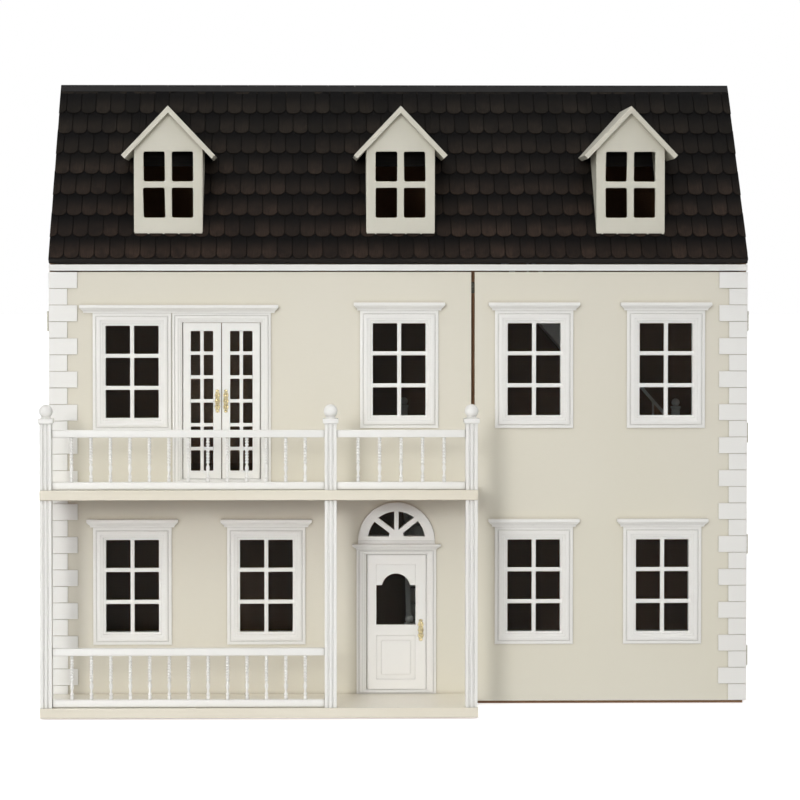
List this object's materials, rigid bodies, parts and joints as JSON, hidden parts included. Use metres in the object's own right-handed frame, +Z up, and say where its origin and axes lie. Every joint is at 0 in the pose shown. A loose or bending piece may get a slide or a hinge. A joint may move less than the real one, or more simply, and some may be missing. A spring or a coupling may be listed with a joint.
{
  "type": "wooden dollhouse",
  "caption": "Wooden 1:12 scale dollhouse with hinged front panels, lifting shingled roof with dormers, porch, railed balcony, opening doors and inner stairs.",
  "frame": {"origin": "on the underside of the base board, at the middle of the house block from side to side and from front wall to back wall", "axes": "+X to the right seen from the front, +Y to the back, +Z up"},
  "size_m": [0.8783, 0.4736, 0.7857],
  "materials": {
    "cream_paint": "satin paint on board",
    "white_paint": "satin white paint",
    "deck_paint": "warm cream paint",
    "raw_board": "unpainted brown fibreboard",
    "dark_board": "dark stain",
    "dark_shingle": "dark stained timber",
    "brass": "polished brass",
    "steel": "zinc plated steel",
    "dark_steel": "dark painted strip hinge",
    "painted_hinge": "hinge painted over with the walls",
    "clear_pane": "thin clear acrylic"
  },
  "bodies": {
    "house": {"base_board": "raw_board", "first_floor": "raw_board", "attic_floor": "raw_board", "ground_partition_left": "raw_board", "ground_partition_right": "raw_board", "upper_partition_left": "raw_board", "upper_partition_right": "raw_board", "attic_partition_left": "raw_board", "attic_partition_right": "raw_board", "left_side_wall": "cream_paint", "right_side_wall": "cream_paint", "back_wall": "cream_paint", "rear_roof_panel": "dark_board", "rear_shingles": "dark_shingle", "eaves_strip": "white_paint", "hall_staircase": "white_paint", "attic_staircase": "white_paint", "hall_balustrade": "white_paint", "attic_balustrade": "white_paint", "catch_plate": "steel", "house_hinge_leaves": "painted_hinge", "hinge_pins": "painted_hinge", "ridge_hinge_rear_leaf": "dark_steel"},
    "left_front": {"left_front_panel": "cream_paint", "left_quoins": "white_paint", "left_upper_windows": "white_paint", "left_lower_windows": "white_paint", "french_door_surround": "white_paint", "front_door_surround": "white_paint", "porch_columns": "white_paint", "balcony_newels": "white_paint", "porch_railing": "white_paint", "balcony_railing": "white_paint", "porch_floor": "deck_paint", "balcony_deck": "deck_paint", "left_glazing": "clear_pane", "left_hinge_leaves": "painted_hinge", "left_catch_magnet": "steel"},
    "right_front": {"right_front_panel": "cream_paint", "right_quoins": "white_paint", "right_upper_windows": "white_paint", "right_lower_windows": "white_paint", "right_glazing": "clear_pane", "right_hinge_leaves": "painted_hinge", "right_catch_magnet": "steel"},
    "front_roof": {"front_roof_panel": "dark_board", "front_shingles": "dark_shingle", "left_dormer": "cream_paint", "middle_dormer": "cream_paint", "right_dormer": "cream_paint", "ridge_hinge_front_leaf": "dark_steel"},
    "front_door_leaf": {"front_door": "white_paint", "front_door_glass": "clear_pane", "front_door_handle": "brass"},
    "french_leaf_left": {"french_door_left": "white_paint", "french_glass_left": "clear_pane", "french_handle_left": "brass"},
    "french_leaf_right": {"french_door_right": "white_paint", "french_glass_right": "clear_pane", "french_handle_right": "brass"}
  },
  "joints": [
    {"name": "left_front_hinge", "type": "hinge", "parent": "house", "child": "left_front", "pos_m": [-0.4376, -0.16585, 0], "axis": [0, 0, -1], "range_deg": [0, 165]},
    {"name": "right_front_hinge", "type": "hinge", "parent": "house", "child": "right_front", "pos_m": [0.4376, -0.16585, 0], "axis": [0, 0, 1], "range_deg": [0, 165]},
    {"name": "roof_hinge", "type": "hinge", "parent": "house", "child": "front_roof", "pos_m": [0, 0, 0.7842], "axis": [-1, 0, 0], "range_deg": [0, 150]},
    {"name": "front_door_hinge", "type": "hinge", "parent": "left_front", "child": "front_door_leaf", "pos_m": [-0.037, -0.1735, 0.0195], "axis": [0, 0, 1], "range_deg": [0, 90]},
    {"name": "french_left_hinge", "type": "hinge", "parent": "left_front", "child": "french_leaf_left", "pos_m": [-0.267, -0.173, 0.2835], "axis": [0, 0, 1], "range_deg": [0, 90]},
    {"name": "french_right_hinge", "type": "hinge", "parent": "left_front", "child": "french_leaf_right", "pos_m": [-0.175, -0.173, 0.2835], "axis": [0, 0, -1], "range_deg": [0, 90]}
  ]
}
